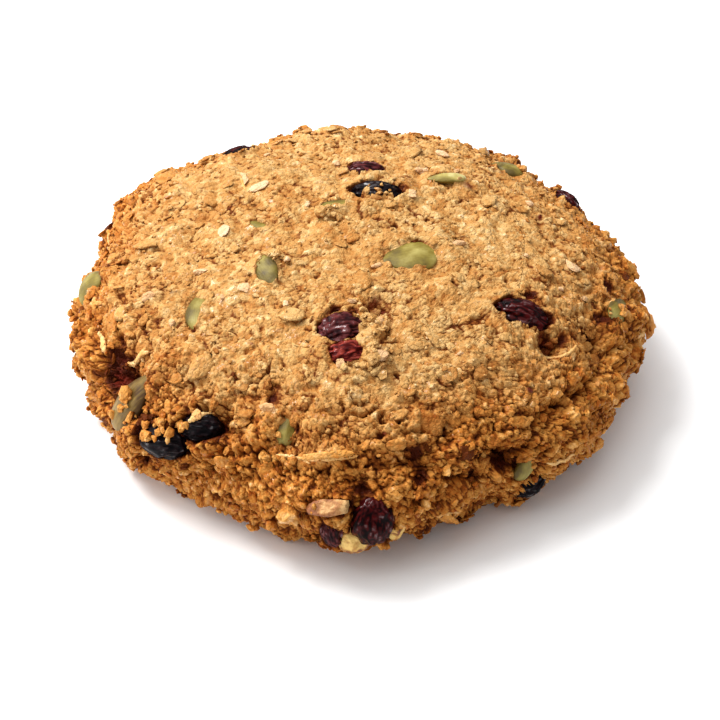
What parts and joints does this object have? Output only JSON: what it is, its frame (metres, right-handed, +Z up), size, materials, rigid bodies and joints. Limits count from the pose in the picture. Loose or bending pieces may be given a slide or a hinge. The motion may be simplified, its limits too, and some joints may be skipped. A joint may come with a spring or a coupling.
{
  "type": "oatmeal cookie",
  "caption": "Thick round baked oat cookie with a craggy domed crust, dried fruit, pumpkin seeds and nut pieces, and a flat underside to rest on.",
  "frame": {"origin": "middle of the flat underside, on the surface that the cookie rests on", "axes": "+Z up through the domed top; -Y towards the front, the side that the picture shows nearest"},
  "size_m": [0.0983, 0.1046, 0.0296],
  "materials": {
    "baked_oat_dough": "dry, rough, crumbly baked oat dough, golden on top and browner round the side",
    "raisin": "wrinkled, sticky, nearly black purple skin with small highlights",
    "cranberry": "wrinkled, glossy dark red skin",
    "pumpkin_seed": "smooth, faintly grained olive green seed skin",
    "nut": "pale cream broken nut with a toasted edge"
  },
  "bodies": {
    "root": {"cookie": "baked_oat_dough", "cranberry_centre": "cranberry", "cranberry_centre_split": "cranberry", "raisin_back": "raisin", "raisin_right": "raisin", "raisin_left_low": "raisin", "raisin_left_high": "raisin", "cranberry_front": "cranberry", "cranberry_front_small": "cranberry", "cranberry_back": "cranberry", "cranberry_rim_right": "cranberry", "raisin_rim_left": "raisin", "raisin_low_right": "raisin", "pumpkin_seed_centre": "pumpkin_seed", "pumpkin_seed_back": "pumpkin_seed", "pumpkin_seed_left": "pumpkin_seed", "pumpkin_seed_far_left": "pumpkin_seed", "pumpkin_seed_rim_left": "pumpkin_seed", "pumpkin_seed_left_front": "pumpkin_seed", "pumpkin_seed_sliver": "pumpkin_seed", "pumpkin_seed_rim_right": "pumpkin_seed", "pumpkin_seed_right": "pumpkin_seed", "pumpkin_seed_low_right": "pumpkin_seed", "pumpkin_seed_front": "pumpkin_seed", "pumpkin_seed_buried": "pumpkin_seed", "nut_piece_front": "nut", "nut_piece_side": "nut", "nut_piece_upper": "nut"}
  },
  "joints": []
}
